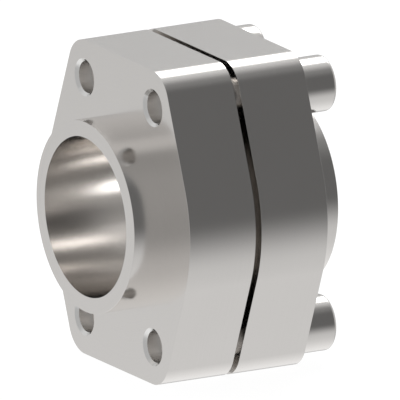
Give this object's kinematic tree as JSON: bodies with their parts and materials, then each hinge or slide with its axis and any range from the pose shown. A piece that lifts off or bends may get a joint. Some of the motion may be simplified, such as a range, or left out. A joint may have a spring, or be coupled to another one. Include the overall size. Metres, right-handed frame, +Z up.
{
  "type": "hydraulic flange",
  "caption": "Hydraulic pipe flange joint: plates with weld hubs, bolted face to face with socket head screws over a squeezed seal ring, joining pipe ends in line.",
  "frame": {"origin": "on the pipe axis at the parting plane between the two flanges, which is the middle of the whole box", "axes": "+Y along the pipe axis from the tapped flange to the clearance flange and the screw heads, +Z up along the long side of the bolt pattern, +X across its short side"},
  "size_m": [0.09, 0.074, 0.102],
  "materials": {
    "flange_steel": "bright turned and milled steel, no paint",
    "screw_steel": "bright steel with smooth turned heads",
    "seal_rubber": "matt black moulded rubber"
  },
  "bodies": {
    "root": {"tapped_flange": "flange_steel", "clearance_flange": "flange_steel", "o_ring": "seal_rubber", "screw_upper_left": "screw_steel", "screw_upper_right": "screw_steel", "screw_lower_left": "screw_steel", "screw_lower_right": "screw_steel"}
  },
  "joints": []
}
